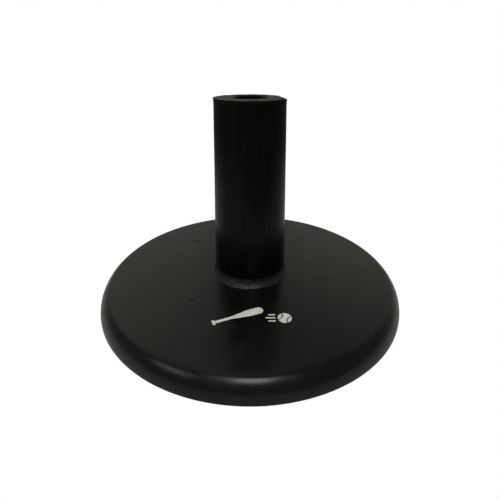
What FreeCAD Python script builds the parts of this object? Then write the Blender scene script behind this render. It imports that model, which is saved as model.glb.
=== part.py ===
import FreeCAD, Part
import math
import os
import Sketcher

# A short all-rubber batting tee. A round base carries a thick-walled tapered post, whose foot is cemented
# into a socket in the base. The ball sits on the post's open end.
# Millimetres, +Z up. The origin is on the floor, on the post's axis, and the printed mark faces -Y.

doc = FreeCAD.newDocument("batting_tee")

# ---------------------------------------------------------------- driving dimensions

SIZES = [
    # base
    ("base_radius", 125.0, "axis to where the rounded rim would meet the floor"),
    ("rim_width", 8.8, "how far the rim reaches in, to the crease round the top"),
    ("base_thickness", 19.0, "floor to the crown of the top, on the axis"),
    ("crown_rise", 3.1, "how much higher the crown is than the crease"),
    ("floor_edge_round", 1.0, "small round where the rim meets the floor"),
    ("rest_ring_width", 30.0, "width of the ring that the base stands on"),
    ("recess_depth", 2.0, "depth of the shallow recess inside that ring"),
    ("socket_depth", 11.0, "socket for the post, below the crown of the top"),
    # post
    ("post_height", 155.0, "floor to the cut top of the post"),
    ("root_radius", 29.5, "outside of the post at its foot"),
    ("tip_radius", 25.0, "outside of the post at its cut top"),
    ("bore_radius", 11.5, "open bore down the post"),
    # cement
    ("cement_gap", 0.3, "thickness of the cement film round and under the foot"),
    ("bead_width", 3.4, "how far the squeezed-out bead reaches over the top of the base"),
    ("bead_height", 7.0, "how far it climbs the post, above the crown of the top"),
    ("bead_hollow", 9.0, "radius of the bead's hollow face, wiped with a fingertip"),
    # printed mark: a bat, and a ball that flies off it with streaks behind
    ("ink_thickness", 0.15, "height of the printed ink over the rubber"),
    ("mark_distance", 65.0, "from the axis to the middle of the mark"),
    ("bat_length", 36.0, "end of the knob to the start of the rounded toe"),
    ("knob_length", 1.8, "along the knob"),
    ("knob_width", 4.8, "across the knob"),
    ("handle_length", 12.0, "straight part of the handle"),
    ("handle_width", 2.4, "across the handle"),
    ("barrel_length", 9.0, "straight part of the barrel"),
    ("barrel_width", 6.6, "across the barrel"),
    ("toe_round", 3.6, "radius of the barrel's rounded toe"),
    ("bat_along", -9.5, "middle of the mark to the middle of the bat, across the front"),
    ("bat_towards_post", 0.0, "middle of the mark to the middle of the bat, towards the post"),
    ("bat_tilt", 22.0, "slope of the bat, in degrees"),
    ("ball_radius", 5.0, "outside of the printed ball"),
    ("ball_along", 24.5, "middle of the mark to the ball, across the front"),
    ("ball_towards_post", -1.5, "middle of the mark to the ball, towards the post"),
    ("ball_tilt", -25.0, "turn of the ball's seams, in degrees"),
    ("seam_reach", 6.7, "middle of the ball to the centre of a seam's curve"),
    ("seam_radius", 4.2, "inside of a seam's curve"),
    ("seam_line", 0.8, "width of a seam"),
    ("streak_length", 7.0, "along the middle streak"),
    ("streak_step", 2.0, "how much shorter each outer streak is"),
    ("streak_width", 1.1, "across a streak"),
    ("streak_pitch", 3.2, "from one streak to the next"),
    ("streak_gap", 1.6, "between the streaks and the ball"),
]

sheet = doc.addObject("Spreadsheet::Sheet", "sizes")
for row, (alias, value, meaning) in enumerate(SIZES, start=1):
    sheet.set(f"A{row}", alias)
    sheet.set(f"B{row}", str(value))
    sheet.set(f"C{row}", meaning)
    sheet.setAlias(f"B{row}", alias)
doc.recompute()

# Lengths and heights that several pieces share, worked out from the sheet.
CREASE_RADIUS = "(sizes.base_radius - sizes.rim_width)"
CREASE_HEIGHT = "(sizes.base_thickness - sizes.crown_rise)"
# The rounded rim is centred level with the floor and runs up to the crease, which settles its radius.
RIM_ROUND = f"(({CREASE_HEIGHT} ^ 2 + sizes.rim_width ^ 2) / (2 * sizes.rim_width))"
RIM_CENTRE = f"(sizes.base_radius - {RIM_ROUND})"
RIM_INSIDE = f"({RIM_ROUND} - sizes.floor_edge_round)"
FLOOR_EDGE_REACH = f"sqrt({RIM_INSIDE} ^ 2 - sizes.floor_edge_round ^ 2)"
FLOOR_EDGE_RADIUS = f"({RIM_CENTRE} + {FLOOR_EDGE_REACH})"
RIM_FOOT_RADIUS = f"({RIM_CENTRE} + {FLOOR_EDGE_REACH} * {RIM_ROUND} / {RIM_INSIDE})"
RIM_FOOT_HEIGHT = f"(sizes.floor_edge_round * {RIM_ROUND} / {RIM_INSIDE})"
CROWN_ROUND = f"(({CREASE_RADIUS} ^ 2 + sizes.crown_rise ^ 2) / (2 * sizes.crown_rise))"
SOCKET_FLOOR = "(sizes.base_thickness - sizes.socket_depth)"
SOCKET_RADIUS = "(sizes.root_radius + sizes.cement_gap)"
FOOT_HEIGHT = f"({SOCKET_FLOOR} + sizes.cement_gap)"
BEAD_RADIUS = "(sizes.root_radius + sizes.bead_width)"
BEAD_TOP = "(sizes.base_thickness + sizes.bead_height)"
TAPER = "((sizes.root_radius - sizes.tip_radius) / (sizes.post_height - sizes.base_thickness))"


def crown_height(radius):
    """Height of the base's crowned top at a distance from the axis, as an expression."""
    return f"(sizes.base_thickness - {CROWN_ROUND} + sqrt({CROWN_ROUND} ^ 2 - {radius} ^ 2))"


# ---------------------------------------------------------------- sketch and body helpers

ON_AXIS = 1e-9  # a coordinate smaller than this lies on the sketch's axis

def number(expression):
    """The value that an expression has now."""
    return float(sheet.evalExpression(expression))


def pin_down(sketch, kind, edge, end, expression):
    """Holds one coordinate of an edge's end at an expression, measured from the sketch's origin."""
    value = number(expression)
    if abs(value) < ON_AXIS:
        axis = -2 if kind == "DistanceX" else -1
        sketch.addConstraint(Sketcher.Constraint("PointOnObject", edge, end, axis))
        return
    index = sketch.addConstraint(Sketcher.Constraint(kind, -1, 1, edge, end, value))
    name = f"{kind[-1].lower()}_{edge}"
    sketch.renameConstraint(index, name)
    sketch.setExpression(f"Constraints.{name}", expression)


def arc_between(start, end, radius, hollow):
    """An arc that bulges to the right of the way from start to end, or to its left if it is hollow."""
    if hollow:
        start, end = end, start
    chord = end - start
    left = FreeCAD.Vector(-chord.y, chord.x, 0).normalize()
    chord_to_centre = math.sqrt(max(radius ** 2 - (chord.Length / 2) ** 2, 0))
    centre = (start + end) / 2 + left * chord_to_centre
    circle = Part.Circle(centre, FreeCAD.Vector(0, 0, 1), radius)
    return Part.ArcOfCircle(circle, circle.parameter(start), circle.parameter(end))


def closed_outline(sketch, corners):
    """Draws a closed outline, anticlockwise. A corner is (x, y), or (x, y, radius of the arc after it), or
    (x, y, radius, "hollow") where that arc curves into the outline."""
    points = [FreeCAD.Vector(number(c[0]), number(c[1]), 0) for c in corners]
    hollow = [len(c) == 4 for c in corners]
    first = sketch.GeometryCount
    count = len(corners)
    for i, corner in enumerate(corners):
        start = points[i]
        end = points[(i + 1) % count]
        if len(corner) > 2:
            sketch.addGeometry(arc_between(start, end, number(corner[2]), hollow[i]), False)
        else:
            sketch.addGeometry(Part.LineSegment(start, end), False)
    # A hollow arc is stored from its far end to its near one, because a sketch's arcs run anticlockwise.
    near_end = [2 if is_hollow else 1 for is_hollow in hollow]
    far_end = [1 if is_hollow else 2 for is_hollow in hollow]
    for i, corner in enumerate(corners):
        edge = first + i
        j = (i + 1) % count
        sketch.addConstraint(Sketcher.Constraint("Coincident", edge, far_end[i], first + j, near_end[j]))
        pin_down(sketch, "DistanceX", edge, near_end[i], corner[0])
        pin_down(sketch, "DistanceY", edge, near_end[i], corner[1])
        if len(corner) > 2:
            index = sketch.addConstraint(Sketcher.Constraint("Radius", edge, number(corner[2])))
            sketch.renameConstraint(index, f"radius_{edge}")
            sketch.setExpression(f"Constraints.radius_{edge}", corner[2])


def origin_plane(body, role):
    """One of a body's own origin planes."""
    return next(f for f in body.Origin.OriginFeatures if f.Role == role)


def body_sketch(body, name, role):
    """A sketch on one of the body's origin planes."""
    sketch = body.newObject("Sketcher::SketchObject", name)
    sketch.AttachmentSupport = [(origin_plane(body, role), "")]
    sketch.MapMode = "FlatFace"
    return sketch


def new_body(label):
    """A body that makes one sub-part."""
    body = doc.addObject("PartDesign::Body", label)
    body.Label = label
    body.Placement = FreeCAD.Placement()
    return body


def turned(body, name, corners):
    """Revolves an outline of (distance from the axis, height) about Z into the body's first solid."""
    sketch = body_sketch(body, f"{name}_profile", "XZ_Plane")
    closed_outline(sketch, corners)
    turn = body.newObject("PartDesign::Revolution", name)
    turn.Profile = sketch
    turn.ReferenceAxis = (sketch, ["V_Axis"])
    turn.Angle = 360
    doc.recompute()


def sunk(body, name, radius, start, depth, upwards):
    """Sinks a round pocket into the body from the height start, and checks that it removed rubber."""
    before = body.Shape.Volume
    sketch = body_sketch(body, f"{name}_circle", "XY_Plane")
    sketch.setExpression("AttachmentOffset.Base.z", start)
    circle = Part.Circle(FreeCAD.Vector(0, 0, 0), FreeCAD.Vector(0, 0, 1), number(radius))
    edge = sketch.addGeometry(circle, False)
    sketch.addConstraint(Sketcher.Constraint("Coincident", edge, 3, -1, 1))
    index = sketch.addConstraint(Sketcher.Constraint("Radius", edge, number(radius)))
    sketch.renameConstraint(index, "radius")
    sketch.setExpression("Constraints.radius", radius)
    pocket = body.newObject("PartDesign::Pocket", name)
    pocket.Profile = sketch
    pocket.Reversed = upwards
    pocket.setExpression("Length", depth)
    doc.recompute()
    if body.Shape.Volume >= before:
        raise RuntimeError(f"{name} removed nothing")


# ---------------------------------------------------------------- base

base = new_body("base")
turned(base, "disc", [
    ("0", "0"),
    (FLOOR_EDGE_RADIUS, "0", "sizes.floor_edge_round"),
    (RIM_FOOT_RADIUS, RIM_FOOT_HEIGHT, RIM_ROUND),
    (CREASE_RADIUS, CREASE_HEIGHT, CROWN_ROUND),
    ("0", "sizes.base_thickness"),
])
sunk(base, "post_socket", SOCKET_RADIUS, "sizes.base_thickness", "sizes.socket_depth", False)
sunk(base, "underside_recess", "sizes.base_radius - sizes.rest_ring_width", "0", "sizes.recess_depth", True)

# ---------------------------------------------------------------- post

# The foot is straight inside the socket. Above the base the outside tapers to the cut top.
post = new_body("post")
turned(post, "tube", [
    ("sizes.bore_radius", FOOT_HEIGHT),
    ("sizes.root_radius", FOOT_HEIGHT),
    ("sizes.root_radius", "sizes.base_thickness"),
    ("sizes.tip_radius", "sizes.post_height"),
    ("sizes.bore_radius", "sizes.post_height"),
])

# ---------------------------------------------------------------- cement

# One cured piece: a film under and round the foot, and the bead that squeezed out at the root.
cement_joint = new_body("cement_joint")
turned(cement_joint, "film_and_bead", [
    ("sizes.bore_radius", SOCKET_FLOOR),
    (SOCKET_RADIUS, SOCKET_FLOOR),
    (SOCKET_RADIUS, crown_height(SOCKET_RADIUS)),
    (BEAD_RADIUS, crown_height(BEAD_RADIUS), "sizes.bead_hollow", "hollow"),
    (f"sizes.root_radius - {TAPER} * sizes.bead_height", BEAD_TOP),
    ("sizes.root_radius", "sizes.base_thickness"),
    ("sizes.root_radius", FOOT_HEIGHT),
    ("sizes.bore_radius", FOOT_HEIGHT),
])

# ---------------------------------------------------------------- printed mark

# A bat, and a ball that flies off it with three streaks behind, drawn flat as tall prisms. They are kept
# only where they meet a thin skin of ink that lies over the crowned top.

KNOB_END = "(-sizes.bat_length / 2)"
HANDLE_START = f"({KNOB_END} + sizes.knob_length)"
TAPER_START = f"({HANDLE_START} + sizes.handle_length)"
TOE = "(sizes.bat_length / 2)"
TAPER_END = f"({TOE} - sizes.barrel_length)"
PRISM_HEIGHT = "(2 * sizes.base_thickness)"


def round_prism(name, x, radius):
    """A tall round prism that stands at x on the drawing's own X axis."""
    prism = doc.addObject("Part::Cylinder", name)
    prism.setExpression("Placement.Base.x", x)
    prism.setExpression("Radius", radius)
    prism.setExpression("Height", PRISM_HEIGHT)
    return prism


def crown_sphere(name, radius):
    """A sphere about the centre of the crowned top."""
    sphere = doc.addObject("Part::Sphere", name)
    sphere.setExpression("Placement.Base.z", f"sizes.base_thickness - {CROWN_ROUND}")
    sphere.setExpression("Radius", radius)
    return sphere


def cut(name, solid, tool):
    """The solid with the tool's shape taken out of it."""
    result = doc.addObject("Part::Cut", name)
    result.Base = solid
    result.Tool = tool
    return result


def put(shape, along, towards_post, tilt):
    """Stands a prism in its place at the front of the base."""
    shape.setExpression("Placement.Base.x", along)
    shape.setExpression("Placement.Base.y", f"{towards_post} - sizes.mark_distance")
    shape.setExpression("Placement.Rotation.Angle", tilt)


bat_outline = doc.addObject("Sketcher::SketchObject", "bat_outline")
closed_outline(bat_outline, [
    (KNOB_END, "-sizes.knob_width / 2"),
    (HANDLE_START, "-sizes.knob_width / 2"),
    (HANDLE_START, "-sizes.handle_width / 2"),
    (TAPER_START, "-sizes.handle_width / 2"),
    (TAPER_END, "-sizes.barrel_width / 2"),
    (TOE, "-sizes.barrel_width / 2", "sizes.toe_round"),
    (TOE, "sizes.barrel_width / 2"),
    (TAPER_END, "sizes.barrel_width / 2"),
    (TAPER_START, "sizes.handle_width / 2"),
    (HANDLE_START, "sizes.handle_width / 2"),
    (HANDLE_START, "sizes.knob_width / 2"),
    (KNOB_END, "sizes.knob_width / 2"),
])
bat = doc.addObject("Part::Extrusion", "bat_prism")
bat.Base = bat_outline
bat.DirMode = "Custom"
bat.Dir = FreeCAD.Vector(0, 0, 1)
bat.setExpression("LengthFwd", PRISM_HEIGHT)
bat.Solid = True
put(bat, "sizes.bat_along", "sizes.bat_towards_post", "sizes.bat_tilt")

# Two curved gaps in the ball stand for its seams.
ball = round_prism("ball_prism", "0", "sizes.ball_radius")
for side, name in ((-1, "left"), (1, "right")):
    seam_centre = f"{side} * sizes.seam_reach"
    seam = cut(
        f"{name}_seam",
        round_prism(f"{name}_seam_outside", seam_centre, "sizes.seam_radius + sizes.seam_line"),
        round_prism(f"{name}_seam_inside", seam_centre, "sizes.seam_radius"),
    )
    ball = cut(f"ball_with_{name}_seam", ball, seam)
put(ball, "sizes.ball_along", "sizes.ball_towards_post", "sizes.ball_tilt")

streaks = []
for row, name in ((-1, "low"), (0, "middle"), (1, "high")):
    streak = doc.addObject("Part::Box", f"{name}_streak")
    length = f"(sizes.streak_length - {abs(row)} * sizes.streak_step)"
    streak.setExpression("Length", length)
    streak.setExpression("Width", "sizes.streak_width")
    streak.setExpression("Height", PRISM_HEIGHT)
    put(
        streak,
        f"sizes.ball_along - sizes.ball_radius - sizes.streak_gap - {length}",
        f"sizes.ball_towards_post + {row} * sizes.streak_pitch - sizes.streak_width / 2",
        "0",
    )
    streaks.append(streak)

ink_skin = cut(
    "ink_skin",
    crown_sphere("ink_outside", f"{CROWN_ROUND} + sizes.ink_thickness"),
    crown_sphere("crown_surface", CROWN_ROUND),
)
drawing = doc.addObject("Part::MultiFuse", "drawing")
drawing.Shapes = [bat, ball, *streaks]
printed_mark = doc.addObject("Part::MultiCommon", "printed_mark")
printed_mark.Shapes = [drawing, ink_skin]
printed_mark.Label = "printed_mark"

# ---------------------------------------------------------------- check and write

doc.recompute()
for item in doc.Objects:
    if {"Invalid", "Error"} & set(item.State):
        raise RuntimeError(f"{item.Label} failed: {item.State}")

os.makedirs("parts", exist_ok=True)
for piece in (base, post, cement_joint, printed_mark):
    shape = piece.Shape
    if shape.isNull() or not shape.isValid():
        raise RuntimeError(f"{piece.Label} has no valid shape")
    shape.exportStep(f"parts/{piece.Label}.step")
    box = shape.optimalBoundingBox(False)
    print(f"{piece.Label}: {len(shape.Solids)} solids, {shape.Volume / 1000:.2f} cm3,")
    print(f"  {box.XLength:.2f} x {box.YLength:.2f} mm, z {box.ZMin:.2f} to {box.ZMax:.2f}")
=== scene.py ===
# %% [markdown]
# # A short rubber batting tee
#
# A batting tee holds a ball still while a player learns to strike it. This one is the short kind, made of
# rubber all through: a heavy round base, a thick-walled post cemented into the middle of it, the bead of
# cement that squeezed out at the root, and a small printed mark.
#
# The sizes were settled in the CAD model. Here that model is loaded as a fixed frame, and each black piece
# is made again around it with a finer surface, while the mark only gets a finish. All lengths are in
# metres, with +Z up and the floor at zero.

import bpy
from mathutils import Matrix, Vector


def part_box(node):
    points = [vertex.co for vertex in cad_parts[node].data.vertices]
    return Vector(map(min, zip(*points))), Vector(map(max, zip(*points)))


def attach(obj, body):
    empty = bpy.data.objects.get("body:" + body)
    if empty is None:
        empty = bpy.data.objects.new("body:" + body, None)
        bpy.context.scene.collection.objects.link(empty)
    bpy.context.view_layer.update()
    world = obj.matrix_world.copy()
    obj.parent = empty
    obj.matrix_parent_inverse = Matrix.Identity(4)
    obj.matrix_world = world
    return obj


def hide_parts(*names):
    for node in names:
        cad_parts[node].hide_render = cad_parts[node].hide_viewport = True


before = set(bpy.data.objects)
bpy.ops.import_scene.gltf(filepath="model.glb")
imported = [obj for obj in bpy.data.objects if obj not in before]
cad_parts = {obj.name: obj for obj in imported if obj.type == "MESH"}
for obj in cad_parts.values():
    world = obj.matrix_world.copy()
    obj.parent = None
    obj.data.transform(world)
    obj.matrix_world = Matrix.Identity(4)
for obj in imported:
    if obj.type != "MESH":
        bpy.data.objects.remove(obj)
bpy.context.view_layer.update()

# %% Tools for the lesson
import math

import bmesh
import bpy
from mathutils import Vector, noise

MM = 0.001
UP = Vector((0, 0, 1))

# %% [markdown]
# ## Sizes
#
# The pieces take their places from the frame, so a size is measured on the CAD node wherever the node's box
# gives it. The few sizes that a box can't give, such as the width of the rounded rim, are named here.

# %% Measure the frame
base_low, base_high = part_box("base")
post_low, post_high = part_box("post")
cement_low, cement_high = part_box("cement_joint")
for name, low, high in (
    ("base", base_low, base_high),
    ("post", post_low, post_high),
    ("cement", cement_low, cement_high),
):
    print(name, "box", [round(x / MM, 1) for x in low], [round(x / MM, 1) for x in high], "mm")

POST_TOP = post_high.z
FOOT_LEVEL = post_low.z
ROOT_RADIUS = post_high.x
BEAD_RADIUS = cement_high.x
BEAD_TOP = cement_high.z
SOCKET_FLOOR = cement_low.z

BASE_RADIUS = 125 * MM
RIM_WIDTH = 8.8 * MM
CROWN_RISE = 3.1 * MM
FLOOR_EDGE_ROUND = 1.0 * MM
BASE_THICKNESS = 19 * MM
REST_RING = 30 * MM
RECESS_DEPTH = 2 * MM
TIP_RADIUS = 25 * MM
BORE_RADIUS = 11.5 * MM
CEMENT_GAP = 0.3 * MM
BEAD_HOLLOW = 9 * MM

CREASE_RADIUS = BASE_RADIUS - RIM_WIDTH
CREASE_HEIGHT = BASE_THICKNESS - CROWN_RISE
RIM_ROUND = (CREASE_HEIGHT**2 + RIM_WIDTH**2) / (2 * RIM_WIDTH)
CROWN_ROUND = (CREASE_RADIUS**2 + CROWN_RISE**2) / (2 * CROWN_RISE)
SOCKET_RADIUS = ROOT_RADIUS + CEMENT_GAP
print("crease at radius", round(CREASE_RADIUS, 4), "height", round(CREASE_HEIGHT, 4))


def crown_height(radius):
    """Height of the base's crowned top at a distance from the axis."""
    return BASE_THICKNESS - CROWN_ROUND + math.sqrt(CROWN_ROUND**2 - radius**2)


# %% [markdown]
# ## Camera
#
# The camera stands in front of the tee, a little above the post's top, and looks down at it through a wide
# lens from close by. That is why the post looks wider at its top than a distant view would show it. A long
# lens from further off would frame it as well, but would flatten the base.

# %% Camera
CAMERA_BACK = 259.6 * MM
CAMERA_HEIGHT = 179.3 * MM
CAMERA_PITCH = math.radians(28.92)
CAMERA_LENS = 25.24
CAMERA_SENSOR = 36
CAMERA_NEAREST = 10 * MM

camera_data = bpy.data.cameras.new("camera")
camera_data.lens = CAMERA_LENS
camera_data.sensor_width = CAMERA_SENSOR
camera_data.clip_start = CAMERA_NEAREST
camera = bpy.data.objects.new("camera", camera_data)
camera.location = (0, -CAMERA_BACK, CAMERA_HEIGHT)
camera.rotation_euler = (math.pi / 2 - CAMERA_PITCH, 0, 0)
bpy.context.scene.collection.objects.link(camera)
bpy.context.scene.camera = camera
print("camera", [round(x, 3) for x in camera.location], "lens", CAMERA_LENS)

# %% [markdown]
# ## Studio
#
# Black rubber shows almost nothing of its own colour: what the eye sees is what it reflects. So the room is
# part of the look. Nodes could be added by hand one at a time. The helpers here add a node and set it in
# one line, so that each recipe further down stays short enough to read.

# %% Node helpers


def new_tree(owner):
    """An empty node tree for a material or a world."""
    owner.use_nodes = True
    owner.node_tree.nodes.clear()
    return owner.node_tree


def add(tree, kind, settings=None, **links):
    """Adds a node and sets its properties from settings.

    Each link is a value or an output for the input of that name, with _ for a space. _0, _1 and so on name
    an input by its number.
    """
    made = tree.nodes.new(kind)
    for key, value in (settings or {}).items():
        setattr(made, key, value)
    for key, value in links.items():
        socket = made.inputs[int(key[1:])] if key[0] == "_" else made.inputs[key.replace("_", " ")]
        feed(tree, socket, value)
    return made


def feed(tree, socket, value):
    """Links an output to an input, or sets the input to a plain value."""
    if isinstance(value, bpy.types.NodeSocket):
        tree.links.new(value, socket)
    else:
        socket.default_value = value


def ramp(tree, value, *stops):
    """A colour ramp with stops of (place, grey or colour)."""
    made = add(tree, "ShaderNodeValToRGB", Fac=value)
    elements = made.color_ramp.elements
    while len(elements) < len(stops):
        elements.new(0.5)
    for element, (place, colour) in zip(elements, stops):
        element.position = place
        element.color = colour if isinstance(colour, tuple) else (colour, colour, colour, 1)
    return made.outputs["Color"]


def object_space(tree):
    """Coordinates that are fixed to the piece, in metres."""
    return add(tree, "ShaderNodeTexCoord").outputs["Object"]


def vector_node(tree, operation, a, b=(0, 0, 0)):
    """One step on two vectors, as a node."""
    return add(tree, "ShaderNodeVectorMath", {"operation": operation}, _0=a, _1=b)


def math_node(tree, operation, a, b=0.0, clamp=False):
    """One arithmetic step on two values."""
    made = add(tree, "ShaderNodeMath", {"operation": operation, "use_clamp": clamp}, _0=a, _1=b)
    return made.outputs[0]


def plus(tree, a, b, clamp=False):
    """The sum of two values."""
    return math_node(tree, "ADD", a, b, clamp)


def minus(tree, a, b):
    """The difference of two values."""
    return math_node(tree, "SUBTRACT", a, b)


def times(tree, a, b):
    """The product of two values."""
    return math_node(tree, "MULTIPLY", a, b)


def between(tree, value, low, high, out_low=0.0, out_high=1.0):
    """Maps low..high to out_low..out_high with soft ends."""
    made = add(tree, "ShaderNodeMapRange", {"interpolation_type": "SMOOTHSTEP"}, Value=value)
    made.inputs["From Min"].default_value = low
    made.inputs["From Max"].default_value = high
    made.inputs["To Min"].default_value = out_low
    made.inputs["To Max"].default_value = out_high
    return made.outputs["Result"]


def blend_colour(tree, share, a, b):
    """Colour a where share is 0 and colour b where it is 1."""
    made = add(tree, "ShaderNodeMix", {"data_type": "RGBA"})
    for socket, value in ((made.inputs[0], share), (made.inputs[6], a), (made.inputs[7], b)):
        feed(tree, socket, value)
    return made.outputs[2]


# %% [markdown]
# ### Room
#
# A pale wall stands behind the tee and gives the base its grey sheen. A dim doorway in the middle of the
# wall keeps the middle of the tee darker than its sides, a window glows high up on the left, and the rest
# of the room is dim. The room could be built from planes. A world that reads nothing but the direction of a
# ray gives the same reflections with softer edges, and is quicker to change.
#
# The ground is plain white. A floor and a room that white would light the rubber from all round, so they
# are white to the camera alone: the Light Path node tells the camera's own rays from all others.

# %% White ground
WHITE = (1.0, 1.0, 1.0, 1)


def white_to_camera(tree, white_kind, seen_by_the_tee):
    """White where the camera looks straight at it, and another shader for every other ray."""
    white = add(tree, white_kind, Color=WHITE)
    camera_ray = add(tree, "ShaderNodeLightPath").outputs["Is Camera Ray"]
    mixed = add(tree, "ShaderNodeMixShader", _0=camera_ray, _1=seen_by_the_tee, _2=white.outputs[0])
    return mixed.outputs[0]


# %% World
WALL_BY_HEIGHT = ((0.30, 0.20), (0.40, 0.27), (0.50, 0.36), (0.60, 0.28), (0.72, 0.11))
WALL_SIDE_EDGE = (0.15, 0.70)
WALL_WARMTH = (1.0, 0.97, 0.86, 1)
DOORWAY_EDGE = (0.03, 0.20)
DOORWAY_DIM = 0.4
WINDOW_WAY = Vector((-0.40, 0.35, 0.85)).normalized()
WINDOW_EDGE = (0.78, 0.97)
WINDOW_GLOW = 0.30
ROOM_GLOW = 0.175

world = bpy.data.worlds.new("studio")
bpy.context.scene.world = world
tree = new_tree(world)
direction = add(tree, "ShaderNodeTexCoord").outputs["Generated"]
parts = add(tree, "ShaderNodeSeparateXYZ", Vector=direction)
behind = between(tree, parts.outputs["Y"], *WALL_SIDE_EDGE)
from_middle = math_node(tree, "ABSOLUTE", parts.outputs["X"])
doorway = between(tree, from_middle, *DOORWAY_EDGE, DOORWAY_DIM, 1.0)
wall = ramp(tree, parts.outputs["Z"], *WALL_BY_HEIGHT)
wall = times(tree, wall, times(tree, behind, doorway))
towards_window = vector_node(tree, "DOT_PRODUCT", direction, WINDOW_WAY).outputs["Value"]
window = between(tree, towards_window, *WINDOW_EDGE, 0.0, WINDOW_GLOW)
room = plus(tree, plus(tree, wall, window), ROOM_GLOW)
background = add(tree, "ShaderNodeBackground", Color=WALL_WARMTH, Strength=room)
seen = white_to_camera(tree, "ShaderNodeBackground", background.outputs[0])
add(tree, "ShaderNodeOutputWorld", Surface=seen)
bpy.context.scene.view_settings.view_transform = "Standard"
print("world", len(tree.nodes), "nodes")

# %% [markdown]
# ### Floor
#
# The floor's colour is painted light that only the rubber sees: a painted pool of light round the tee that
# fades to a dimmer grey further off, and a painted shadow just in front of it, darker to the right, where
# whoever stands behind the camera would shade the floor. The rubber shows it as the tone along the foot of
# the rim. Two planes would do it as well, but one plane with a soft edge in its colour has no seam to hide.

# %% Floor
FLOOR_SIZE = 8.0
# Painted light: the floor's grey is lighter round the tee and dimmer further off, a painted pool of light
# that only the rubber mirrors.
FLOOR_LIT_NEAR = (0.80, 0.78, 0.72, 1)
FLOOR_DIM_FAR = (0.24, 0.235, 0.215, 1)
LIGHT_POOL_FADE = (0.22, 0.60)
# Painted shadow: the floor in front of the tee, more to its right, is dark, where whoever stands behind the
# camera would shade it.
SHADOW_EDGE_LEAN = (-0.55, 1.0, 0.0)
SHADOW_EDGE = (-0.34, -0.20)
PAINTED_SHADOW_GREY = (0.13, 0.13, 0.12, 1)

bm = bmesh.new()
bmesh.ops.create_grid(bm, x_segments=1, y_segments=1, size=FLOOR_SIZE / 2)
floor_mesh = bpy.data.meshes.new("floor")
bm.to_mesh(floor_mesh)
bm.free()
floor = bpy.data.objects.new("floor", floor_mesh)
bpy.context.scene.collection.objects.link(floor)

floor_painted_light = bpy.data.materials.new("floor_painted_light")
tree = new_tree(floor_painted_light)
place = object_space(tree)
across_shadow_edge = vector_node(tree, "DOT_PRODUCT", place, SHADOW_EDGE_LEAN).outputs["Value"]
from_tee = vector_node(tree, "LENGTH", place).outputs["Value"]
# Painted pool of light: lighter near the tee, dimmer with distance from it.
light_pool = blend_colour(tree, between(tree, from_tee, *LIGHT_POOL_FADE), FLOOR_LIT_NEAR, FLOOR_DIM_FAR)
# Painted shadow: the floor is dark in front of the tee, past a soft leaning edge.
out_of_shadow = between(tree, across_shadow_edge, *SHADOW_EDGE)
painted_floor = add(tree, "ShaderNodeBsdfDiffuse", Color=blend_colour(tree, out_of_shadow, PAINTED_SHADOW_GREY, light_pool))
seen = white_to_camera(tree, "ShaderNodeEmission", painted_floor.outputs[0])
add(tree, "ShaderNodeOutputMaterial", Surface=seen)
floor_mesh.materials.append(floor_painted_light)
print("floor", FLOOR_SIZE, "m wide")

# %% [markdown]
# ### Lamps
#
# One wide, low lamp over the camera draws the highlight along the front of the rim, and a weaker one on the
# left carries it round. A sphere lamp would leave a round spot, so both are flat rectangles: the shape of a
# lamp is the shape of its highlight.

# %% Lamps
RIM_FRONT = (0, -0.12, 0.01)


def soft_lamp(name, place, size, power):
    """A flat lamp of size (width, height) at place that faces the front of the rim."""
    data = bpy.data.lights.new(name, "AREA")
    data.shape = "RECTANGLE"
    data.size, data.size_y = size
    data.energy = power
    lamp = bpy.data.objects.new(name, data)
    lamp.location = place
    lamp.rotation_euler = (Vector(place) - Vector(RIM_FRONT)).to_track_quat("Z", "Y").to_euler()
    bpy.context.scene.collection.objects.link(lamp)
    print(name, power, "W")


soft_lamp("lamp_over_camera", (0.02, -0.78, 0.97), (0.44, 0.50), 4.9)
soft_lamp("lamp_at_left", (-0.80, -0.60, 0.68), (0.40, 0.30), 0.9)

# %% [markdown]
# ## Rubber
#
# Moulded rubber is nearly black with a satin surface. Its gloss isn't even: handling polishes it in
# patches, dust and bloom make it a little grey, and the mould leaves a fine grain. Each of those is one
# layer of noise, at its own size, read from the object's own coordinates so that it stays put from every
# side.

# %% Helpers for surface detail


def grain(tree, place, size, detail=3.0, roughness=0.5, stretch=None):
    """Noise whose features are about size metres across, stretched by a factor along each axis."""
    if stretch:
        place = add(tree, "ShaderNodeMapping", Vector=place, Scale=stretch).outputs["Vector"]
    made = add(tree, "ShaderNodeTexNoise", Vector=place, Scale=1 / size, Detail=detail, Roughness=roughness)
    return made.outputs["Fac"]


def relief(tree, layers):
    """Stacks bumps. Each layer is (height in 0..1, depth in metres)."""
    normal = None
    for value, depth in layers:
        bump = add(tree, "ShaderNodeBump", Height=value, Strength=1.0, Distance=depth)
        if normal is not None:
            tree.links.new(normal, bump.inputs["Normal"])
        normal = bump.outputs["Normal"]
    return normal


def rubber_shader(tree, colour, roughness, bump, specular):
    """The shader that every piece shares, with its own colour, gloss and relief."""
    shader = add(tree, "ShaderNodeBsdfPrincipled", Base_Color=colour, Roughness=roughness, Normal=bump)
    shader.inputs["Specular IOR Level"].default_value = specular
    shader.inputs["IOR"].default_value = 1.5
    add(tree, "ShaderNodeOutputMaterial", Surface=shader.outputs[0])


# %% [markdown]
# ### Base rubber
#
# The top of the base gets the most wear: it has lain on grounds and been wiped clean. Clouds, patches,
# specks and a fine grain give it that. A texture painted by hand would hold only at one distance, and noise
# has detail at every one.

# %% Base rubber: wear
base_rubber = bpy.data.materials.new("base_rubber")
tree = new_tree(base_rubber)
place = object_space(tree)
clouds = grain(tree, place, 60 * MM, detail=4)
patches = grain(tree, place, 14 * MM, detail=5, roughness=0.6)
specks = grain(tree, place, 1.2 * MM, detail=2)
fine = grain(tree, place, 0.45 * MM, detail=2)

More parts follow.
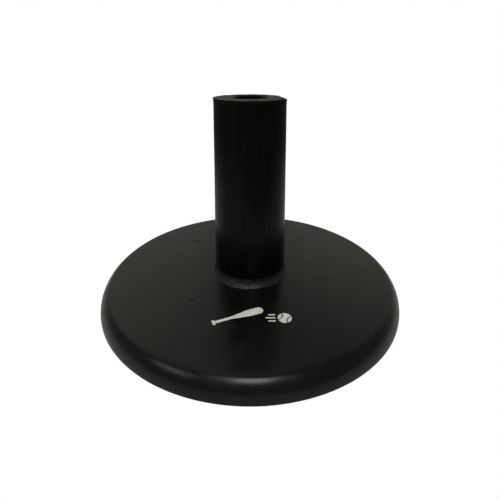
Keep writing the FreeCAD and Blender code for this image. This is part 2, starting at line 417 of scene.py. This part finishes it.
# %% [markdown]
# A few marks are placed where this tee has them: a short nick left of the post, a curved scratch on
# the right, a dark scratch behind the post, chalky smudges at the front left, and a long faint line from
# being dragged. Each is a stretched ball of distance that the top cuts through, and noise breaks up its
# edge.

# %% Base rubber: marks
SPOT_HEIGHT = 5 * MM
SPOT_EDGE = (1.0, 0.45)
SPOT_NOISE_SCALE = 700.0
NOISE_MIDDLE = (0.5, 0.5, 0.5)


def spot(tree, place, centre, length, width, degrees, rough=0.35):
    """1 inside a long patch on the base's top, 0 outside. The place and the sizes are in millimetres."""
    x, y = centre[0] * MM, centre[1] * MM
    wobbly = add(tree, "ShaderNodeTexNoise", Vector=place, Scale=SPOT_NOISE_SCALE, Detail=3.0)
    offset = vector_node(tree, "SUBTRACT", wobbly.outputs["Color"], NOISE_MIDDLE)
    shift = vector_node(tree, "SCALE", offset.outputs[0])
    shift.inputs["Scale"].default_value = width * MM * rough
    moved = vector_node(tree, "ADD", place, shift.outputs[0])
    local = add(
        tree,
        "ShaderNodeMapping",
        {"vector_type": "TEXTURE"},
        Vector=moved.outputs[0],
        Location=(x, y, crown_height(math.hypot(x, y))),
        Rotation=(0, 0, math.radians(degrees)),
        Scale=(length * MM / 2, width * MM / 2, SPOT_HEIGHT),
    )
    reach = vector_node(tree, "LENGTH", local.outputs[0]).outputs["Value"]
    return between(tree, reach, *SPOT_EDGE)


chalk_a = spot(tree, place, (-58, -72), 15, 4, -12, rough=2.0)
chalk_b = spot(tree, place, (-47, -74), 12, 5, 8, rough=2.0)
nick = spot(tree, place, (-43.9, -45.6), 5.0, 2.0, 12)
hook = spot(tree, place, (49.6, -60.1), 7.0, 1.3, -26)
drag_line = spot(tree, place, (87, 19), 46, 0.5, -5)
dark_line = spot(tree, place, (-52, 51.4), 14, 1.6, -15)
chalk = times(tree, math_node(tree, "MAXIMUM", chalk_a, chalk_b), between(tree, patches, 0.42, 0.62))
scratched = math_node(tree, "MAXIMUM", nick, math_node(tree, "MAXIMUM", hook, dark_line))

# %% Base rubber: colour, gloss and relief
BASE_BLACK = ((0.35, (0.0028, 0.0030, 0.0027, 1)), (0.65, (0.0046, 0.0048, 0.0042, 1)))
DUST_COLOUR = (0.045, 0.044, 0.040, 1)
CHALK_COLOUR = (0.11, 0.11, 0.10, 1)
DRAG_COLOUR = (0.06, 0.06, 0.055, 1)
SCRATCH_BLACK = (0.0005, 0.0005, 0.0005, 1)

dusty = between(tree, patches, 0.50, 0.78, 0.0, 0.07)
colour = ramp(tree, clouds, *BASE_BLACK)
colour = blend_colour(tree, dusty, colour, DUST_COLOUR)
colour = blend_colour(tree, times(tree, chalk, 0.22), colour, CHALK_COLOUR)
colour = blend_colour(tree, times(tree, drag_line, 0.3), colour, DRAG_COLOUR)
colour = blend_colour(tree, scratched, colour, SCRATCH_BLACK)
gloss = between(tree, patches, 0.30, 0.70, 0.20, 0.29)
for layer, duller in ((specks, 0.04), (chalk, 0.15), (scratched, 0.60)):
    gloss = plus(tree, gloss, times(tree, layer, duller), clamp=layer is scratched)
depth = minus(tree, 1.0, scratched)
bump = relief(tree, [(fine, 0.010 * MM), (specks, 0.020 * MM), (patches, 0.05 * MM), (depth, 0.8 * MM)])
rubber_shader(tree, colour, gloss, bump, 0.30)
print("base rubber", len(tree.nodes), "nodes")

# %% [markdown]
# ### Post rubber
#
# The post is smoother than the base. It was drawn or wrapped lengthwise, so its gloss and relief run in
# faint streaks up and down. The same noise does it, squeezed along the post.

# %% Post rubber: side
post_rubber = bpy.data.materials.new("post_rubber")
tree = new_tree(post_rubber)
place = object_space(tree)
streaks = grain(tree, place, 3.2 * MM, detail=4, stretch=(1, 1, 0.03))
ripples = grain(tree, place, 22 * MM, detail=3, stretch=(1, 1, 0.35))
fine = grain(tree, place, 0.5 * MM, detail=2)
torn = grain(tree, place, 2.4 * MM, detail=5, roughness=0.65)
knife = grain(tree, place, 1.1 * MM, detail=4, stretch=(0.12, 1, 1))

# %% [markdown]
# The top was cut square with a knife, which leaves a dull grey face, and that grey is made paler to paint
# in the sheen the face shows at a grazing view. It stops short of both edges in a narrow dark band, which
# at the outer edge is painted shadow under the burr, and of the torn corner on the right, and behind the
# bore an oval patch of it keeps the side's black. A second material on those faces would end along their
# edges. Masks that are worked out from the point's own height and distance from the axis can end where the
# cut really does, with ragged borders.

# %% Post rubber: cut end
TEAR_START = 20.8 * MM
RAGGED_BY = 12 * MM
# Behind the bore an oval patch of the cut face keeps the side's black.
DARK_PATCH_CENTRE = 17 * MM
DARK_PATCH_SIZE = (12.5 * MM, 8.5 * MM)
DARK_PATCH_EDGE = (1.35, 0.55)

parts = add(tree, "ShaderNodeSeparateXYZ", Vector=place)
x_squared = times(tree, parts.outputs["X"], parts.outputs["X"])
y_squared = times(tree, parts.outputs["Y"], parts.outputs["Y"])
from_axis = math_node(tree, "SQRT", plus(tree, x_squared, y_squared))
near_top = between(tree, parts.outputs["Z"], POST_TOP - 1.7 * MM, POST_TOP - 1.4 * MM)
off_bore = between(tree, from_axis, BORE_RADIUS + 0.2 * MM, BORE_RADIUS + 0.5 * MM)
# Painted shadow: a narrow band along the outer edge of the cut face keeps the side's black, standing in for
# the shade under the burr.
off_burr_shadow = between(tree, from_axis, TIP_RADIUS - 0.1 * MM, TIP_RADIUS - 0.4 * MM)
on_end = times(tree, near_top, off_bore)

ragged = times(tree, minus(tree, torn, 0.5), RAGGED_BY)
x = plus(tree, parts.outputs["X"], ragged)
y = plus(tree, parts.outputs["Y"], ragged)
beside_tear = between(tree, x, TEAR_START + 0.8 * MM, TEAR_START)
dark_patch_x = math_node(tree, "DIVIDE", x, DARK_PATCH_SIZE[0])
dark_patch_y = math_node(tree, "DIVIDE", minus(tree, y, DARK_PATCH_CENTRE), DARK_PATCH_SIZE[1])
dark_patch_reach = plus(tree, times(tree, dark_patch_x, dark_patch_x), times(tree, dark_patch_y, dark_patch_y))
in_dark_patch = between(tree, dark_patch_reach, *DARK_PATCH_EDGE)
grey_and_sheen_share = times(tree, times(tree, on_end, off_burr_shadow), beside_tear)
grey_and_sheen_share = times(tree, grey_and_sheen_share, minus(tree, 1.0, in_dark_patch))

# %% Post rubber: colour, gloss and relief
SIDE_BLACK = ((0.35, (0.0014, 0.0015, 0.0014, 1)), (0.70, (0.0028, 0.0029, 0.0026, 1)))
# The cut grey is the face's own dull colour with painted sheen in it: paler than cut rubber alone, to stand
# in for its grazing sheen.
CUT_GREY_AND_SHEEN = ((0.30, (0.036, 0.035, 0.031, 1)), (0.72, (0.110, 0.107, 0.095, 1)))

colour = blend_colour(tree, grey_and_sheen_share, ramp(tree, ripples, *SIDE_BLACK), ramp(tree, torn, *CUT_GREY_AND_SHEEN))
side_gloss = between(tree, streaks, 0.30, 0.75, 0.24, 0.34)
gloss = plus(tree, side_gloss, times(tree, on_end, 0.50), clamp=True)
cut_relief = times(tree, plus(tree, knife, torn), on_end)
bump = relief(tree, [(fine, 0.006 * MM), (streaks, 0.035 * MM), (cut_relief, 0.22 * MM)])
rubber_shader(tree, colour, gloss, bump, 0.16)
print("post rubber", len(tree.nodes), "nodes")

# %% [markdown]
# ### Cement and ink
#
# The cement cured with a skin that is glossy on its lumps and dull between them. The ink is a thin
# off-white layer that has worn off here and there, so that the black shows through in specks. One noise
# steers both colour and gloss in each, because on a real surface they change at the same places.

# %% Cement
CEMENT_BLACK = ((0.30, (0.006, 0.006, 0.005, 1)), (0.75, (0.018, 0.018, 0.016, 1)))

cement_skin = bpy.data.materials.new("cement_skin")
tree = new_tree(cement_skin)
place = object_space(tree)
lumps = grain(tree, place, 2.2 * MM, detail=4, roughness=0.6)
fine = grain(tree, place, 0.6 * MM, detail=3)
colour = ramp(tree, lumps, *CEMENT_BLACK)
gloss = between(tree, lumps, 0.35, 0.70, 0.45, 0.28)
bump = relief(tree, [(fine, 0.06 * MM), (lumps, 0.40 * MM)])
rubber_shader(tree, colour, gloss, bump, 0.34)
print("cement skin", len(tree.nodes), "nodes")

# %% Ink
INK_WHITE = ((0.3, (0.84, 0.83, 0.77, 1)), (0.7, (0.95, 0.94, 0.88, 1)))
WORN_THROUGH = (0.03, 0.03, 0.028, 1)

worn_ink = bpy.data.materials.new("worn_ink")
tree = new_tree(worn_ink)
place = object_space(tree)
wear = grain(tree, place, 1.6 * MM, detail=6, roughness=0.7)
mottle = grain(tree, place, 5 * MM, detail=3)
fine = grain(tree, place, 0.35 * MM, detail=2)
worn = between(tree, wear, 0.66, 0.74, 0.0, 0.85)
colour = blend_colour(tree, worn, ramp(tree, mottle, *INK_WHITE), WORN_THROUGH)
gloss = between(tree, mottle, 0.3, 0.7, 0.45, 0.6)
bump = relief(tree, [(fine, 0.02 * MM), (wear, 0.04 * MM)])
rubber_shader(tree, colour, gloss, bump, 0.4)
print("worn ink", len(tree.nodes), "nodes")

# %% [markdown]
# ## Turned shapes
#
# Every black piece here is round, so each is made as on a lathe: draw half of its section as a chain of
# edges, then spin that chain about the axis. Straight stretches of the section come from extruding a
# vertex, and round stretches from spinning one vertex about the round's own centre. Cutting the pieces out
# of solids would leave uneven faces, and a spun mesh can be bent by noise without a kink.

# %% Section helpers
MERGE_DISTANCE = 0.002 * MM


def start_section(bm, radius, height):
    """The first point of a section, in the XZ plane."""
    return bm.verts.new((radius, 0, height))


def straight(bm, vert, radius, height, parts=1):
    """Extrudes a section point to a new place, in a number of equal parts, and returns the last point."""
    start = vert.co.copy()
    end = Vector((radius, 0, height))
    for i in range(parts):
        vert = bmesh.ops.extrude_vert_indiv(bm, verts=[vert])["verts"][0]
        vert.co = start.lerp(end, (i + 1) / parts)
    return vert


def rounded(bm, vert, centre, degrees, steps):
    """Spins a section point about a centre (radius, height), anticlockwise as seen from the front."""
    made = bmesh.ops.spin(
        bm,
        geom=[vert],
        cent=(centre[0], 0, centre[1]),
        axis=(0, -1, 0),
        angle=math.radians(degrees),
        steps=steps,
    )
    return made["geom_last"][0]


def turn(bm, steps):
    """Spins the whole section once about the axis and closes it."""
    bmesh.ops.remove_doubles(bm, verts=bm.verts, dist=MERGE_DISTANCE)
    bmesh.ops.spin(
        bm,
        geom=bm.verts[:] + bm.edges[:],
        cent=(0, 0, 0),
        axis=UP,
        angle=2 * math.pi,
        steps=steps,
        use_merge=True,
    )
    bmesh.ops.remove_doubles(bm, verts=bm.verts, dist=MERGE_DISTANCE)
    bmesh.ops.recalc_face_normals(bm, faces=bm.faces)
    print("section spun in", steps, "steps:", len(bm.faces), "faces")


# %% [markdown]
# Every piece is finished in the same way: smooth shading except at its sharp edges, its material, a parent
# empty named for the body it rides on, and the CAD node it stands for is hidden. Before that, noise bends
# its surface a little. That noise has channels, so that one piece can have several that don't repeat.

# %% Noise and finishing
CHANNEL_STEP = Vector((17.3, 5.1, 9.7))


def wobble(point, size, channel=0):
    """Smooth noise from -1 to 1 with features about size across. Channels are unrelated to each other."""
    return noise.noise(point / size + CHANNEL_STEP * (channel + 1))


def make_piece(bm, name, material, node_name, sharp_degrees=28):
    """Turns a finished bmesh into a piece that stands for one CAD node."""
    bm.normal_update()
    for edge in bm.edges:
        edge.smooth = len(edge.link_faces) != 2 or edge.calc_face_angle() < math.radians(sharp_degrees)
    for face in bm.faces:
        face.smooth = True
    mesh = bpy.data.meshes.new(name)
    bm.to_mesh(mesh)
    bm.free()
    mesh.materials.append(material)
    piece = bpy.data.objects.new(name, mesh)
    bpy.context.scene.collection.objects.link(piece)
    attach(piece, "root")
    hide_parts(node_name)
    print(name, len(mesh.polygons), "faces", [round(x / MM, 1) for x in piece.dimensions], "mm")


# %% [markdown]
# ## Base
#
# The base is one moulding. Its top is very slightly crowned, so that water runs off, and ends at a fine
# crease where the two halves of the mould met. Outside the crease the rim rolls over in one wide round.
# Underneath, a shallow recess leaves a ring to stand on.

# %% Base section
rim_centre = (BASE_RADIUS - RIM_ROUND, 0)
edge_reach = math.sqrt((RIM_ROUND - FLOOR_EDGE_ROUND) ** 2 - FLOOR_EDGE_ROUND**2)
edge_centre = (rim_centre[0] + edge_reach, FLOOR_EDGE_ROUND)
edge_lean = math.degrees(math.atan2(FLOOR_EDGE_ROUND, edge_reach))
crease_lean = math.degrees(math.atan2(CREASE_HEIGHT, RIM_ROUND - RIM_WIDTH))
crown_centre = (0, BASE_THICKNESS - CROWN_ROUND)
crown_edge_lean = math.degrees(math.asin(CREASE_RADIUS / CROWN_ROUND))
crown_hub_lean = math.degrees(math.asin(SOCKET_RADIUS / CROWN_ROUND))
recess_radius = BASE_RADIUS - REST_RING

bm = bmesh.new()
point = start_section(bm, 0, RECESS_DEPTH)
point = straight(bm, point, recess_radius, RECESS_DEPTH, parts=12)
point = straight(bm, point, recess_radius, 0)
point = straight(bm, point, edge_centre[0], 0, parts=6)
point = rounded(bm, point, edge_centre, 90 + edge_lean, 7)
point = rounded(bm, point, rim_centre, crease_lean - edge_lean, 26)
point = rounded(bm, point, crown_centre, crown_edge_lean - crown_hub_lean, 66)
point = straight(bm, point, SOCKET_RADIUS, SOCKET_FLOOR, parts=3)
point = straight(bm, point, 0, SOCKET_FLOOR, parts=4)
turn(bm, 360)

# %% [markdown]
# A moulding that has lain about is never quite true. The top and the rim are pushed in and out by a tenth
# of a millimetre over a few centimetres, which is enough to bend a reflection. A bump in the material could
# bend it too, but wouldn't show in the outline. The crease is a narrow groove, which catches a thin line of
# light.

# %% Base surface
GROOVE_WIDTH = 0.9 * MM
GROOVE_DEPTH = 0.22 * MM
WIDE_SWELL = 0.07 * MM
NARROW_SWELL = 0.025 * MM
NEAR_FLOOR = 0.1 * MM

for vert in bm.verts:
    radius = math.hypot(vert.co.x, vert.co.y)
    if vert.co.z < NEAR_FLOOR or radius < BEAD_RADIUS:
        continue
    out = vert.normal if radius > CREASE_RADIUS + MM else UP
    swell = WIDE_SWELL * wobble(vert.co, 45 * MM) + NARROW_SWELL * wobble(vert.co, 12 * MM, 1)
    groove = -GROOVE_DEPTH * math.exp(-(((radius - CREASE_RADIUS) / GROOVE_WIDTH) ** 2))
    vert.co += out * (swell + groove)
make_piece(bm, "base_moulding", base_rubber, "base")

# %% [markdown]
# ## Post
#
# The post is a tube with a wall about as thick as a thumb. The inside is a plain bore, and the outside
# tapers a little towards the top. A tube could be a curve with a thickness, but a spun section gives the
# wall, the bore and the foot in one closed shape.

# %% Post section
bm = bmesh.new()
point = start_section(bm, BORE_RADIUS, FOOT_LEVEL)
point = straight(bm, point, ROOT_RADIUS, FOOT_LEVEL, parts=3)
point = straight(bm, point, ROOT_RADIUS, BASE_THICKNESS, parts=3)
point = straight(bm, point, TIP_RADIUS, POST_TOP, parts=48)
point = straight(bm, point, BORE_RADIUS, POST_TOP, parts=12)
point = straight(bm, point, BORE_RADIUS, FOOT_LEVEL, parts=24)
turn(bm, 240)

# %% [markdown]
# The end was cut with a knife. The cut leans a little and its two edges have small burrs, the outer one is
# pushed outwards, and on the right a corner tore away. Moving the points that the spin has made is enough
# for all of it: the burrs are noise that fades away from an edge.

# %% Burrs and the torn corner
SIDE_WAVE = 0.10 * MM
SIDE_RIPPLE = 0.03 * MM
FLARE = 0.35 * MM
FLARE_REACH = 2 * MM
END_WAVE = 0.10 * MM
BURR = 0.16 * MM
BURR_REACH_OUTSIDE = 1.2 * MM
BURR_REACH_INSIDE = 1.0 * MM
CUT_DROP = 0.05 * MM
CUT_LEAN = 0.008
TEAR_DROP = 0.25 * MM
TEAR_SLOPE = 0.22

for vert in bm.verts:
    radius = math.hypot(vert.co.x, vert.co.y)
    outward = Vector((vert.co.x, vert.co.y, 0)).normalized()
    if radius > BORE_RADIUS + MM and vert.co.z > BEAD_TOP:
        wave = SIDE_WAVE * wobble(vert.co, 30 * MM, 6) + SIDE_RIPPLE * wobble(vert.co, 8 * MM, 7)
        vert.co += outward * wave
        if radius > TIP_RADIUS - 0.1 * MM:
            vert.co += outward * (FLARE * math.exp((vert.co.z - POST_TOP) / FLARE_REACH))
    if vert.co.z > POST_TOP - 0.01 * MM:
        at_outside = math.exp(-((TIP_RADIUS - radius) / BURR_REACH_OUTSIDE))
        at_inside = math.exp(-((radius - BORE_RADIUS) / BURR_REACH_INSIDE))
        ragged = wobble(vert.co, 3.2 * MM, 2) + 0.6 * wobble(vert.co, 1.5 * MM, 3)
        burr = BURR * (at_outside + at_inside) * ragged
        lean = CUT_LEAN * (TIP_RADIUS + vert.co.y)
        vert.co.z += END_WAVE * wobble(vert.co, 9 * MM, 4) + burr - CUT_DROP - lean
        past_tear = vert.co.x - TEAR_START
        if past_tear > 0:
            vert.co.z -= TEAR_DROP + past_tear * TEAR_SLOPE
make_piece(bm, "post_tube", post_rubber, "post")

# %% [markdown]
# ## Cement
#
# The cement was brushed into the socket before the post went in. What was too much came up round the root,
# and was wiped with a fingertip into a rough hollow bead. It is one closed solid: a thin cup between foot
# and socket, with the bead on its lip. The bead's hollow face is one arc, so it is spun about a centre that
# lies outside the bead.

# %% Cement section
taper = ROOT_RADIUS - TIP_RADIUS
root_at_bead = ROOT_RADIUS - taper * (BEAD_TOP - BASE_THICKNESS) / (POST_TOP - BASE_THICKNESS)
bead_foot = Vector((BEAD_RADIUS, crown_height(BEAD_RADIUS)))
bead_tip = Vector((root_at_bead, BEAD_TOP))
chord = bead_tip - bead_foot
inwards = Vector((-chord.y, chord.x)).normalized()
bead_centre = (bead_foot + bead_tip) / 2 - inwards * math.sqrt(BEAD_HOLLOW**2 - (chord.length / 2) ** 2)
bead_turn = math.degrees(2 * math.asin(chord.length / 2 / BEAD_HOLLOW))

bm = bmesh.new()
point = start_section(bm, BORE_RADIUS, SOCKET_FLOOR)
point = straight(bm, point, SOCKET_RADIUS, SOCKET_FLOOR)
point = straight(bm, point, SOCKET_RADIUS, crown_height(SOCKET_RADIUS))
point = straight(bm, point, BEAD_RADIUS, bead_foot.y - 0.3 * MM)
point = rounded(bm, straight(bm, point, bead_foot.x, bead_foot.y), bead_centre, -bead_turn, 14)
point = straight(bm, point, ROOT_RADIUS - 0.3 * MM, BASE_THICKNESS)
point = straight(bm, point, ROOT_RADIUS, FOOT_LEVEL)
point = straight(bm, point, BORE_RADIUS, FOOT_LEVEL)
point = straight(bm, point, BORE_RADIUS, SOCKET_FLOOR)
turn(bm, 420)

# %% [markdown]
# The fingertip left the bead lumpy. Three sizes of noise move its face in and out, and a little down and up.
# The cup inside the socket stays as it is, because the post and the base press on it.

# %% Lumps in the bead
LUMP_SIZES = ((0.40, 9 * MM, 8), (0.25, 3.5 * MM, 9), (0.08, 1.6 * MM, 10))
LUMP_LIFT = UP * 0.5

socket_rim = crown_height(SOCKET_RADIUS)
for vert in bm.verts:
    radius = math.hypot(vert.co.x, vert.co.y)
    if vert.co.z < socket_rim - 0.1 * MM or radius < root_at_bead + 0.2 * MM:
        continue
    outward = Vector((vert.co.x, vert.co.y, 0)).normalized()
    lump = sum(height * wobble(vert.co, size, channel) for height, size, channel in LUMP_SIZES)
    vert.co += (outward + LUMP_LIFT) * (lump * MM)
make_piece(bm, "cement_bead", cement_skin, "cement_joint", sharp_degrees=50)

# %% [markdown]
# ## Printed mark
#
# The mark keeps its shape from the frame: a bat, a ball with two seams, and three streaks behind it, as
# thin as ink. An image could be laid on the base as a texture, but real ink has an edge, and the frame
# already has it. So the mark only needs its finish.

# %% Printed mark
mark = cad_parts["printed_mark"]
mark.data.materials.clear()
mark.data.materials.append(worn_ink)
print("printed mark", [round(x / MM, 1) for x in mark.dimensions], "mm")
